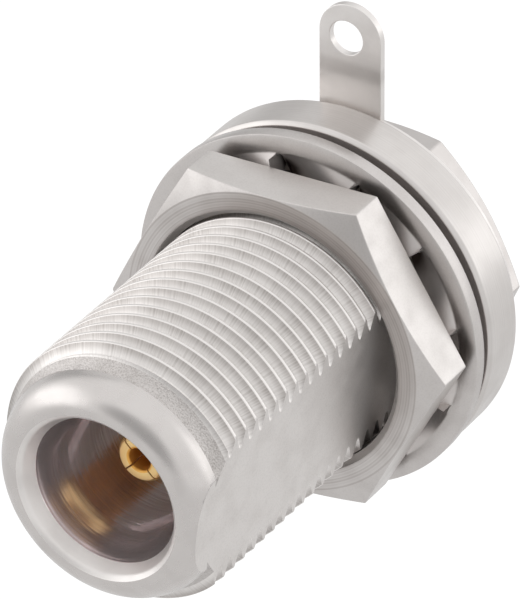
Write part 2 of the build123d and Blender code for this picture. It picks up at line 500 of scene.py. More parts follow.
def rounded(corners: Sequence[Corner], steps: int = 3) -> list[Spot]:
    """Rounds the corners of a closed half section.

    Args:
        corners: radius, station and rounding of each corner.
        steps: how many edges each rounding gets.

    Returns:
        The points of the rounded section.
    """
    share_of_edge, least_reach = 0.45, 1e-5
    spots: list[Spot] = []
    for k, (r, y, rounding) in enumerate(corners):
        here = Vector((r, y))
        before = Vector(corners[k - 1][:2]) - here
        after = Vector(corners[(k + 1) % len(corners)][:2]) - here
        back = min(rounding, before.length * share_of_edge, after.length * share_of_edge)
        if rounding <= 0 or back < least_reach:
            spots.append((r, y))
            continue
        start, end = here + before.normalized() * back, here + after.normalized() * back
        for step in range(steps + 1):
            t = step / steps
            spot = start * (1 - t) ** 2 + here * (2 * t * (1 - t)) + end * t ** 2
            spots.append((spot.x, spot.y))
    return spots


def even_angles(segments: int) -> list[float]:
    """Even directions round the axis, in radians."""
    return [2 * pi * k / segments for k in range(segments)]


def arc(centre: Spot, radius: float, start: float, sweep: float, steps: int) -> list[Spot]:
    """Even points on an arc.

    Args:
        centre: its centre.
        radius: its radius.
        start: direction of its first point in radians.
        sweep: how far it turns; a whole turn leaves its last point out.
        steps: how many edges it has.

    Returns:
        The points.
    """
    count = steps if sweep == 2 * pi else steps + 1
    turns = [start + sweep * k / steps for k in range(count)]
    return [(centre[0] + radius * cos(a), centre[1] + radius * sin(a)) for a in turns]


@dataclass(frozen=True)
class Hexagon:
    """The outline of a hexagonal bar with slightly rounded edges."""

    flat_r: float
    turn: float              # direction of one corner
    rounding: float = 0.12

    def radius(self, angle: float) -> float:
        """How far the outline is from the axis.

        Args:
            angle: direction in radians.

        Returns:
            The radius in millimetres.
        """
        turned = (angle - radians(self.turn) + pi / 6) % (pi / 3) - pi / 6
        centre = self._centre()
        if abs(turned) < self._edge():
            return centre * cos(turned) + sqrt(self.rounding ** 2 - (centre * sin(turned)) ** 2)
        return self.flat_r / cos(pi / 6 - abs(turned))

    def _centre(self) -> float:
        """How far the centres of the rounded edges are from the axis."""
        return (self.flat_r - self.rounding) / cos(pi / 6)

    def _edge(self) -> float:
        """Half the angle that a rounded edge takes up."""
        rounding, half_corner = self.rounding, pi / 6
        return atan2(rounding * sin(half_corner), self._centre() + rounding * cos(half_corner))

    def angles(self, segments: int) -> list[float]:
        """Even directions round the axis, with more of them round each edge.

        Args:
            segments: how many even ones there are.

        Returns:
            The directions in radians.
        """
        edge = self._edge()
        edges = [radians(self.turn + 60 * k) + edge * step / 2
                 for k in range(6) for step in range(-2, 3)]
        far = [a for a in even_angles(segments)
               if all(abs((a - e + pi) % (2 * pi) - pi) > edge * 0.4 for e in edges)]
        return sorted(a % (2 * pi) for a in edges + far)


def ring_mesh(angles: Sequence[float],
              section: Callable[[float], Sequence[Spot]]) -> bmesh.types.BMesh:
    """A closed body whose half section may change round the axis.

    Args:
        angles: directions in radians, going up.
        section: gives the closed half section's points for a direction.

    Returns:
        The mesh in metres; points on the axis are joined.
    """
    least_radius, same_point = 1e-9, 1e-8
    mesh = bmesh.new()
    rows = []
    for angle in angles:
        across, up = cos(angle) * MM, sin(angle) * MM
        rows.append([mesh.verts.new((r * across, y * MM, r * up)) for r, y in section(angle)])
    for k, row in enumerate(rows):
        other = rows[(k + 1) % len(rows)]
        for j in range(len(row)):
            i = (j + 1) % len(row)
            if row[j].co.xz.length + row[i].co.xz.length > least_radius:
                mesh.faces.new((row[j], other[j], other[i], row[i]))
    bmesh.ops.remove_doubles(mesh, verts=mesh.verts, dist=same_point)
    bmesh.ops.recalc_face_normals(mesh, faces=mesh.faces)
    return mesh


def turned_mesh(corners: Sequence[Corner], segments: int) -> bmesh.types.BMesh:
    """A turned body from the corners of its closed half section."""
    spots = rounded(corners)
    return ring_mesh(even_angles(segments), lambda angle: spots)


def block(angle: float, low: Vector, high: Vector) -> bmesh.types.BMesh:
    """A box turned about the axis.

    Args:
        angle: direction of the box's own X in degrees.
        low: its lowest corner in its own directions, in millimetres.
        high: its highest corner.

    Returns:
        The mesh in metres.
    """
    mesh = bmesh.new()
    bmesh.ops.create_cube(mesh, size=1.0)
    middle, size = (low + high) / 2 * MM, (high - low) * MM
    mesh.transform(Matrix.Rotation(-radians(angle), 4, "Y") @ Matrix.Translation(middle)
                   @ Matrix.Diagonal((*size, 1.0)))
    return mesh


def solid(name: str, mesh: bmesh.types.BMesh) -> bpy.types.Object:
    """An object at the origin that holds the mesh.

    Args:
        name: the object's name.
        mesh: its shape, which is freed.

    Returns:
        The linked object.
    """
    data = bpy.data.meshes.new(name)
    mesh.to_mesh(data)
    mesh.free()
    made = bpy.data.objects.new(name, data)
    bpy.context.scene.collection.objects.link(made)
    return made


def combine(base: bpy.types.Object, tool: bpy.types.Object, work: Work) -> bpy.types.Object:
    """Joins, cuts or trims one body with another, which is removed.

    Args:
        base: the body that is kept.
        tool: the body that works on it.
        work: what the tool does.

    Returns:
        The base with its new mesh.
    """
    step = base.modifiers.new("combine", "BOOLEAN")
    step.operation = work.value
    step.object = tool
    step.solver = "MANIFOLD"
    bpy.context.view_layer.update()
    graph = bpy.context.evaluated_depsgraph_get()
    data = bpy.data.meshes.new_from_object(base.evaluated_get(graph))
    base.modifiers.remove(step)
    old, base.data = base.data, data
    bpy.data.meshes.remove(old)
    spare = tool.data
    bpy.data.objects.remove(tool)
    bpy.data.meshes.remove(spare)
    return base


def shade(made: bpy.types.Object, sharp: float) -> None:
    """Smooth faces with flat ones kept flat.

    Args:
        made: the piece.
        sharp: edges over this angle in degrees stay sharp.
    """
    large_faces_first = 80
    made.data.polygons.foreach_set("use_smooth", [True] * len(made.data.polygons))
    made.data.set_sharp_from_angle(angle=radians(sharp))
    weights = made.modifiers.new("even shading", "WEIGHTED_NORMAL")
    weights.keep_sharp = True
    weights.weight = large_faces_first


class Piece:
    """One dressed piece that stands for a CAD node."""

    node: str
    body: Body
    sharp: float             # edges over this angle in degrees stay sharp

    def form(self) -> bpy.types.Object:
        """Makes the piece's shape, which each piece does its own way."""
        raise NotImplementedError

    def finish_of(self, centre: Vector, normal: Vector) -> int:
        """Chooses a face's finish.

        Args:
            centre: the face's centre in millimetres.
            normal: its normal.

        Returns:
            The finish's number among those of the piece.
        """
        return 0

    def build(self) -> bpy.types.Object:
        """Makes and dresses the piece and puts it on its body, in the CAD node's place.

        Returns:
            The piece.
        """
        made = self.form()
        made.data.materials.clear()
        for finish in FINISHES[self.node]:
            made.data.materials.append(finish.material())
        for face in made.data.polygons:
            face.material_index = self.finish_of(face.center / MM, face.normal)
        shade(made, self.sharp)
        made.name = f"{self.node}_dressed"
        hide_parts(self.node)
        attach(made, self.body.value)
        return made


# --- The jack's pieces ---


@dataclass
class Thread:
    """The coupling thread: a right-hand helix of 60 degree ridges."""

    major_r: float = 7.9
    depth: float = 0.615
    pitch: float = 25.4 / 24
    root_flat: float = 0.19
    root_station: float = -6.96      # middle of a root on the +X side
    flank_angle: float = 30.0
    rounding: float = 0.045          # of its roots and crests
    segments: int = 288

    @property
    def root_r(self) -> float:
        """Radius of the roots."""
        return self.major_r - self.depth

    def ridge(self) -> list[Spot]:
        """Draws one pitch of the thread's outline.

        Returns:
            Its points: radius and distance behind the root's middle.
        """
        flank, turn = radians(self.flank_angle), self.rounding
        rise = self.depth * tan(flank)
        half = self.root_flat / 2
        crest = self.pitch - self.root_flat - 2 * rise
        up = [
            (self.root_r, half - turn),
            (self.root_r + turn * cos(flank), half + turn * sin(flank)),
            (self.major_r - turn * cos(flank), half + rise - turn * sin(flank)),
            (self.major_r, half + rise + turn),
        ]
        peak = half + rise + crest / 2
        return up + [(r, 2 * peak - y) for r, y in reversed(up)]

    def rod(self, front: float, rear: float) -> bmesh.types.BMesh:
        """A threaded rod.

        Args:
            front: station that it starts ahead of.
            rear: station that it ends behind.

        Returns:
            The mesh in metres.
        """
        ridge = self.ridge()
        spare_front, spare_rear = 1, 3       # turns past its ends
        first = int((front - self.root_station) / self.pitch) - spare_front
        last = int((rear - self.root_station) / self.pitch) + spare_rear
        line = [(r, self.root_station + k * self.pitch + y)
                for k in range(first, last) for r, y in ridge]
        mesh = bmesh.new()
        columns = []
        for step in range(self.segments):
            angle = 2 * pi * step / self.segments
            drop = self.pitch * step / self.segments
            across, up = cos(angle) * MM, sin(angle) * MM
            columns.append([mesh.verts.new((r * across, (y - drop) * MM, r * up)) for r, y in line])
        start = [mesh.verts.new((r * MM, (y - self.pitch) * MM, 0)) for r, y in line[:len(ridge)]]
        columns.append(start + columns[0][:len(line) - len(ridge)])
        for column, other in zip(columns, columns[1:]):
            for j in range(len(line) - 1):
                mesh.faces.new((column[j], other[j], other[j + 1], column[j + 1]))
        tail = columns[0][len(line) - len(ridge) - 1:]
        rims = (
            [column[0] for column in columns] + start[1:] + [columns[0][0]],
            [column[-1] for column in columns] + tail[1:],
        )
        for rim, station in zip(rims, (line[0][1] - self.pitch * 2, line[-1][1] + self.pitch)):
            tip = mesh.verts.new((0, station * MM, 0))
            for a, b in zip(rim, rim[1:]):
                if a is not b:
                    mesh.faces.new((a, b, tip))
        bmesh.ops.recalc_face_normals(mesh, faces=mesh.faces)
        return mesh


@dataclass
class OuterBody(Piece):
    """Nose, threaded barrel and hexagonal flange in one piece of plated brass."""

    node: str = "outer_body"
    body: Body = Body.JACK
    sharp: float = 40
    crest_r: float = 5.15
    nose_length: float = 1.95
    bead_r: float = 6.95
    cone_r: float = 6.73
    cone_angle: float = 32.0
    lead_in: float = 0.25
    mouth_r: float = 4.5
    mouth_depth: float = 1.0
    break_width: float = 0.25
    break_length: float = 0.20
    taper_angle: float = 10.0
    taper_curve: float = 0.4         # how much of the taper's opening curves out to the mouth
    front_bore_r: float = 4.05
    reference_depth: float = 9.15
    air_line_r: float = 3.5
    air_line_length: float = 2.5
    insulator_bore_r: float = 5.0
    flat_r: float = 6.24
    flat_angle: float = -6.3
    flat_past_seat: float = 1.2
    flange_flat_r: float = 8.3
    flange_turn: float = 3.3
    flange_chamfer_r: float = 8.23
    flange_chamfer_angle: float = 30.0
    core_clearance: float = 0.09     # how far the core stays under the thread's roots
    thread_overlap: float = 0.8      # how far the thread runs on under the panel ring
    segments: int = 288

    def __post_init__(self) -> None:
        """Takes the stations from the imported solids."""
        self.thread = Thread()
        self.face, self.rear = stations(self.node)
        self.seat_station = stations("panel_ring")[0]
        self.flange_front = stations("ground_lug")[1]
        self.bead = self.face + self.nose_length
        self.root = self.bead + (self.thread.root_r - self.cone_r) / tan(radians(self.cone_angle))
        self.hexagon = Hexagon(self.flange_flat_r, self.flange_turn, 0.15)

    def _nose(self, edges: int = 16) -> list[Corner]:
        """The nose's elliptical rounding.

        Args:
            edges: number of edges.

        Returns:
            The corners, from the crest to the bead.
        """
        quarter = [pi / 2 * k / edges for k in range(edges + 1)]
        return [(self.crest_r + (self.bead_r - self.crest_r) * sin(a),
                 self.face + self.nose_length * (1 - cos(a)), 0.0) for a in quarter]

    def _taper(self, edges: int = 8) -> list[Corner]:
        """The tapered mouth, which opens a little faster towards the face.

        Args:
            edges: number of edges.

        Returns:
            The corners, from the front bore to the mouth.
        """
        opening = self.mouth_r - self.front_bore_r
        length, straight = opening / tan(radians(self.taper_angle)), 1 - self.taper_curve
        mouth = self.face + self.mouth_depth
        along = [k / edges for k in range(edges + 1)]
        return [(self.front_bore_r + opening * (straight * t + self.taper_curve * t ** 3),
                 mouth + length * (1 - t), 0.05) for t in along]

    def _section(self, angle: float) -> list[Spot]:
        """Draws the core's half section in a direction: everything but the thread.

        Args:
            angle: direction in radians.

        Returns:
            The section's points.
        """
        under = self.thread.root_r - self.core_clearance
        hexed = self.hexagon.radius(angle)
        fall = (hexed - self.flange_chamfer_r) * tan(radians(self.flange_chamfer_angle))
        reference = self.face + self.reference_depth
        thread_end = self.seat_station + self.thread_overlap
        return rounded([
            *self._nose(),
            (self.cone_r, self.bead, 0.02),
            (self.thread.root_r, self.root, 0.0),
            (under, self.root + 0.05, 0.0),
            (under, thread_end, 0.0),
            (self.thread.major_r, thread_end + 0.1, 0.0),
            (self.thread.major_r, self.flange_front, 0.0),
            (hexed, self.flange_front, 0.08),
            (hexed, self.rear - fall, 0.08),
            (self.flange_chamfer_r, self.rear, 0.08),
            (self.insulator_bore_r, self.rear, 0.05),
            (self.insulator_bore_r, reference + self.air_line_length, 0.0),
            (self.air_line_r, reference + self.air_line_length, 0.05),
            (self.air_line_r, reference, 0.06),
            (self.front_bore_r, reference, 0.03),
            *self._taper(),
            (self.crest_r - self.break_width, self.face + self.break_length, 0.15),
        ])

    def _limits(self) -> bmesh.types.BMesh:
        """Makes the sleeve that trims the threaded rod.

        Returns:
            The mesh: a lead-in in front and an end that is buried in the core behind.
        """
        wall, proud, ahead, segments = 0.4, 0.02, 0.3, 240
        major, root, slope = self.thread.major_r, self.thread.root_r, tan(radians(self.cone_angle))
        rear = self.seat_station + self.thread_overlap + 0.2
        return turned_mesh([
            (root - wall, self.root - ahead, 0.0),
            (root - ahead * slope - proud, self.root - ahead, 0.0),
            (root - proud, self.root - 0.01, 0.0),
            (major + proud, self.root + self.lead_in, 0.0),
            (major + proud, rear, 0.0),
            (root - wall, rear, 0.0),
        ], segments)

    def finish_of(self, centre: Vector, normal: Vector) -> int:
        """Chooses a face's finish.

        Args:
            centre: the face's centre in millimetres.
            normal: its normal.

        Returns:
            The face's kind.
        """
        radius, along, slack = hypot(centre.x, centre.z), centre.y, 0.01
        facing = Vector((cos(radians(self.flat_angle)), 0, sin(radians(self.flat_angle))))
        if normal.dot(facing) > 0.9995 and abs(centre.dot(facing) - self.flat_r) < slack:
            return BodyFace.FLAT
        if radius < self.crest_r and along < self.rear - 0.1:
            in_bore = along > self.face + self.mouth_depth - 2 * slack
            return BodyFace.BORE if in_bore else BodyFace.LIP
        if along < self.bead + slack / 2:
            return BodyFace.NOSE
        if along < self.root - slack / 2:
            return BodyFace.CONE
        on_thread = along < self.seat_station + self.thread_overlap + 0.15
        return BodyFace.THREAD if on_thread else BodyFace.FLANGE

    def form(self) -> bpy.types.Object:
        """Threads the core and mills the flat.

        Returns:
            The body's shape.
        """
        rod = solid("threaded_rod", self.thread.rod(self.root - 1.0, self.seat_station + 1.2))
        sleeve = combine(rod, solid("limits", self._limits()), Work.TRIM)
        core = solid(self.node, ring_mesh(self.hexagon.angles(self.segments), self._section))
        made = combine(core, sleeve, Work.JOIN)
        side = self.thread.major_r + 1
        cutter = block(
            self.flat_angle, Vector((self.flat_r, self.face - 1, -side)),
            Vector((side, self.seat_station + self.flat_past_seat, side)))
        return combine(made, solid("flat", cutter), Work.CUT)


@dataclass
class HexNut(Piece):
    """The panel nut: a hexagon with its front corners turned off."""

    node: str = "hex_nut"
    body: Body = Body.NUT
    sharp: float = 35
    flat_r: float = 9.5
    turn: float = 1.8
    chamfer_r: float = 9.45
    chamfer_angle: float = 24.1
    bore_r: float = 7.96
    countersink: float = 0.37
    segments: int = 240

    def __post_init__(self) -> None:
        """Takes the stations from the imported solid."""
        self.front, self.rear = stations(self.node)
        self.hexagon = Hexagon(self.flat_r, self.turn, 0.10)

    def _section(self, angle: float) -> list[Spot]:
        """Draws the nut's half section in a direction.

        Args:
            angle: direction in radians.

        Returns:
            The section's points.
        """
        hexed = self.hexagon.radius(angle)
        fall = (hexed - self.chamfer_r) * tan(radians(self.chamfer_angle))
        mouth = self.bore_r + self.countersink
        return rounded([
            (mouth, self.front, 0.04),
            (self.chamfer_r, self.front, 0.05),
            (hexed, self.front + fall, 0.07),
            (hexed, self.rear, 0.08),
            (mouth, self.rear, 0.03),
            (self.bore_r, self.rear - self.countersink, 0.03),
            (self.bore_r, self.front + self.countersink, 0.05),
        ])

    def finish_of(self, centre: Vector, normal: Vector) -> int:
        """Chooses a face's finish.

        Args:
            centre: the face's centre in millimetres.
            normal: its normal.

        Returns:
            The face's kind.
        """
        square_to_axis, sloping = 0.97, 0.5
        if abs(normal.y) > square_to_axis:
            return NutFace.END
        if hypot(centre.x, centre.z) < self.chamfer_r - 0.1:
            return NutFace.BORE
        return NutFace.CORNER if normal.y < -sloping else NutFace.SIDE

    def form(self) -> bpy.types.Object:
        """The nut's shape."""
        return solid(self.node, ring_mesh(self.hexagon.angles(self.segments), self._section))


@dataclass
class LockWasher(Piece):
    """A flat rim with inner teeth, each twisted about its own radial line."""

    node: str = "lock_washer"
    body: Body = Body.WASHER
    sharp: float = 40
    sheet: float = 0.89
    rim_width: float = 1.15
    teeth: int = 12
    tip_r: float = 8.2
    half_angle: float = 14.3         # half of a tooth, seen from the axis
    first_tooth: float = 25.5
    bend_length: float = 1.6         # radial length in which a tooth reaches its full height
    leaning: float = 1.08            # a leaning tooth's thickness along the axis, in sheets
    edge: float = 0.10

    def __post_init__(self) -> None:
        """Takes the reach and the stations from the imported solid."""
        front, rear = stations(self.node)
        self.outer_r = reach(self.node)
        self.middle, self.height = (front + rear) / 2, rear - front
        self.root_r = self.outer_r - self.rim_width

    def _rise(self, radius: float, share: float) -> float:
        """How far a tooth's middle plane is from the rim's.

        Args:
            radius: distance from the axis.
            share: -1 at the edge that is raised to the nut, 1 at the one that is lowered.

        Returns:
            The distance along the axis.
        """
        depth = min(max((self.root_r - radius) / self.bend_length, 0.0), 1.0)
        bent = sin(pi / 2 * depth) if share < 0 else depth * (2 - depth)
        return (self.height - self.sheet * self.leaning) / 2 * bent * share

    def _section(self, angle: float) -> list[Spot]:
        """Draws the half section in a direction.

        Args:
            angle: direction in radians.

        Returns:
            The points round the rim and a tooth, or round the rim alone in a slit.
        """
        pitch = 2 * pi / self.teeth
        beside = (angle - radians(self.first_tooth) + pitch / 2) % pitch - pitch / 2
        share = beside / radians(self.half_angle)
        inner = self.tip_r if abs(share) < 1.0001 else self.root_r
        half, edge = self.sheet / 2, self.edge
        steps, closer_to_root, bevel = 10, 1.5, edge * 0.3
        radii = [self.root_r + 0.35, self.root_r + 0.1]          # on the rim, ahead of the bend
        radii += [self.root_r - self.bend_length * (k / steps) ** closer_to_root
                  for k in range(steps + 1)]
        radii += [self.tip_r + 0.06]                             # where a tooth's tip rounds off
        front = [(self.outer_r, edge - half), (self.outer_r - bevel, bevel - half),
                 (self.outer_r - edge, -half)]
        front += [(max(r, inner), self._rise(r, share) - half) for r in radii]
        front += [(inner, self._rise(inner, share) + edge - half)]
        rear = [(r, y + 2 * (self._rise(r, share) - y)) for r, y in reversed(front)]
        return [(r, self.middle + y) for r, y in front + rear]

    def _angles(self) -> list[float]:
        """Spreads the sections over all teeth.

        Returns:
            Directions in radians, with two close together at each side of a slit.
        """
        half, slit, steps = radians(self.half_angle), 0.0004, 10
        own = [-half - slit] + [half * k / steps for k in range(-steps, steps + 1)] + [half + slit]
        pitch = 2 * pi / self.teeth
        return sorted((radians(self.first_tooth) + pitch * k + a) % (2 * pi)
                      for k in range(self.teeth) for a in own)

    def finish_of(self, centre: Vector, normal: Vector) -> int:
        """0 for the rim and 1 for the teeth."""
        return int(hypot(centre.x, centre.z) < self.root_r)

    def form(self) -> bpy.types.Object:
        """The washer's shape."""
        return solid(self.node, ring_mesh(self._angles(), self._section))


@dataclass
class PanelRing(Piece):
    """The thick turned ring that the panel seats against."""

    node: str = "panel_ring"
    body: Body = Body.JACK
    sharp: float = 30
    bore_r: float = 8.0
    front_chamfer: float = 0.23
    rear_chamfer: float = 0.25
    segments: int = 288

    def finish_of(self, centre: Vector, normal: Vector) -> int:
        """0 for what is turned and 1 for the faced ends."""
        return int(abs(normal.y) > 0.9)

    def form(self) -> bpy.types.Object:
        """Turns the ring.

        Returns:
            The ring's shape.
        """
        outer_r = reach(self.node)
        front, rear = stations(self.node)
        return solid(self.node, turned_mesh([
            (self.bore_r, front, 0.04),
            (outer_r - self.front_chamfer, front, 0.05),
            (outer_r, front + self.front_chamfer, 0.07),
            (outer_r, rear - self.rear_chamfer, 0.07),
            (outer_r - self.rear_chamfer, rear, 0.05),
            (self.bore_r, rear, 0.04),
        ], self.segments))


@dataclass
class GroundLug(Piece):
    """A stamped solder tag: an eye round the barrel and a tab with a hole."""

    node: str = "ground_lug"
    body: Body = Body.JACK
    sharp: float = 12
    bore_r: float = 8.0
    eye_r: float = 10.6
    tab_width: float = 4.02
    hole_r: float = 1.065
    hole_offset: float = -0.25
    hole_below_end: float = 2.16     # hole's centre below the tab's top
    edge: float = 0.05

    def _outlines(self) -> list[list[Spot]]:
        """Draws the outlines that the lug is stamped to.

        Returns:
            The outer outline, the bore and the hole, as points across and up.
        """
        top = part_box(self.node)[1].z / MM
        half = self.tab_width / 2
        corner = atan2(sqrt(self.eye_r ** 2 - half ** 2), half)
        whole = 2 * pi
        eye = arc((0, 0), self.eye_r, pi - corner, 2 * corner + pi, 120)
        end = arc((0, top - half), half, 0, pi, 32)
        bore = arc((0, 0), self.bore_r, 0, whole, 128)
        hole = arc((self.hole_offset, top - self.hole_below_end), self.hole_r, 0, whole, 64)
        return [eye + end, bore, hole]

    def form(self) -> bpy.types.Object:
        """Stamps the lug from its outlines.

        Returns:
            The lug's shape.
        """
        front, rear = stations(self.node)
        curve = bpy.data.curves.new(self.node, "CURVE")
        curve.dimensions, curve.fill_mode = "2D", "BOTH"
        curve.extrude = ((rear - front) / 2 - self.edge) * MM
        curve.bevel_depth, curve.bevel_resolution = self.edge * MM, 2
        curve.offset = -self.edge * MM
        for outline in self._outlines():
            spline = curve.splines.new("POLY")
            spline.points.add(len(outline) - 1)
            for point, (across, up) in zip(spline.points, outline):
                point.co = (across * MM, up * MM, 0, 1)
            spline.use_cyclic_u = True
        drawn = bpy.data.objects.new(self.node, curve)
        bpy.context.scene.collection.objects.link(drawn)
        bpy.context.view_layer.update()
        flat = bpy.data.meshes.new_from_object(
            drawn.evaluated_get(bpy.context.evaluated_depsgraph_get()))
        bpy.data.objects.remove(drawn)
        mesh = bmesh.new()
        mesh.from_mesh(flat)
        bpy.data.meshes.remove(flat)
        bmesh.ops.remove_doubles(mesh, verts=mesh.verts, dist=2e-6)
        mesh.transform(Matrix.Translation((0, (front + rear) / 2 * MM, 0))
                       @ Matrix.Rotation(pi / 2, 4, "X"))
        bmesh.ops.recalc_face_normals(mesh, faces=mesh.faces)
        return solid(self.node, mesh)


@dataclass
class CentreContact(Piece):
    """The gold plated contact: slotted socket, collar and solder pot."""

    node: str = "centre_contact"
    body: Body = Body.JACK
    sharp: float = 35
    stem_r: float = 1.52
    tip_r: float = 1.28
    bevel_length: float = 0.35
    socket_r: float = 0.83
    mouth_r: float = 0.685
    lip_length: float = 0.45
    neck_length: float = 0.8
    socket_depth: float = 6.2
    slot_width: float = 0.10         # the fingers' tips lean together
    slot_length: float = 5.0
    collar_length: float = 1.2
    slot_turn: float = 45.0
    pot_hole_r: float = 1.05
    pot_depth: float = 3.4
    pot_edge: float = 0.2
    vent_r: float = 0.4
    segments: int = 128

    def finish_of(self, centre: Vector, normal: Vector) -> int:
        """0 for the outside and 1 for the socket's wall."""
        return int(hypot(centre.x, centre.z) < self.mouth_r + 0.2)

    def _turned(self, tip: float, pot: float) -> bmesh.types.BMesh:
        """Turns the contact before it is slotted.

        Args:
            tip: station of the socket's mouth.
            pot: station of the solder pot's mouth.

        Returns:
            The mesh.
        """
        collar_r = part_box(self.node)[1].x / MM
        collar_rear = stations("front_insulator")[1]
        collar_front = collar_rear - self.collar_length
        return turned_mesh([
            (self.mouth_r, tip, 0.14),
            (self.tip_r, tip, 0.15),
            (self.stem_r, tip + self.bevel_length, 0.10),
            (self.stem_r, collar_front, 0.0),
            (collar_r, collar_front, 0.05),
            (collar_r, collar_rear, 0.05),
            (self.stem_r, collar_rear, 0.0),
            (self.stem_r, pot - self.pot_edge, 0.05),
            (self.stem_r - self.pot_edge, pot, 0.05),
            (self.pot_hole_r, pot, 0.05),
            (self.pot_hole_r, pot - self.pot_depth, 0.0),
            (0.0, pot - self.pot_depth, 0.0),
            (0.0, tip + self.socket_depth, 0.0),
            (self.socket_r, tip + self.socket_depth, 0.0),
            (self.socket_r, tip + self.lip_length + self.neck_length, 0.05),
            (self.mouth_r, tip + self.lip_length, 0.05),
        ], self.segments)

    def form(self) -> bpy.types.Object:
        """Turns the contact, slots its socket crosswise and drills its vent.

        Returns:
            The contact's shape.
        """
        tip, pot = stations(self.node)
        made = solid(self.node, self._turned(tip, pot))
        side, ahead = 2, 1               # how far the cutter stands clear of the socket
        for turn in (self.slot_turn, self.slot_turn + 90):
            cutter = block(
                turn, Vector((-side, tip - ahead, -self.slot_width / 2)),
                Vector((side, tip + self.slot_length, self.slot_width / 2)))
            made = combine(made, solid("slot", cutter), Work.CUT)
        vent = bmesh.new()
        bmesh.ops.create_cone(
            vent, cap_ends=True, segments=32, radius1=self.vent_r * MM, radius2=self.vent_r * MM,
            depth=self.stem_r * 2 * MM)
        vent.transform(Matrix.Translation(
            (0, (pot - self.pot_depth + 2 * self.vent_r) * MM, self.stem_r * MM)))
        return combine(made, solid("vent", vent), Work.CUT)


Finish = Union[MetalFinish, PlasticFinish]

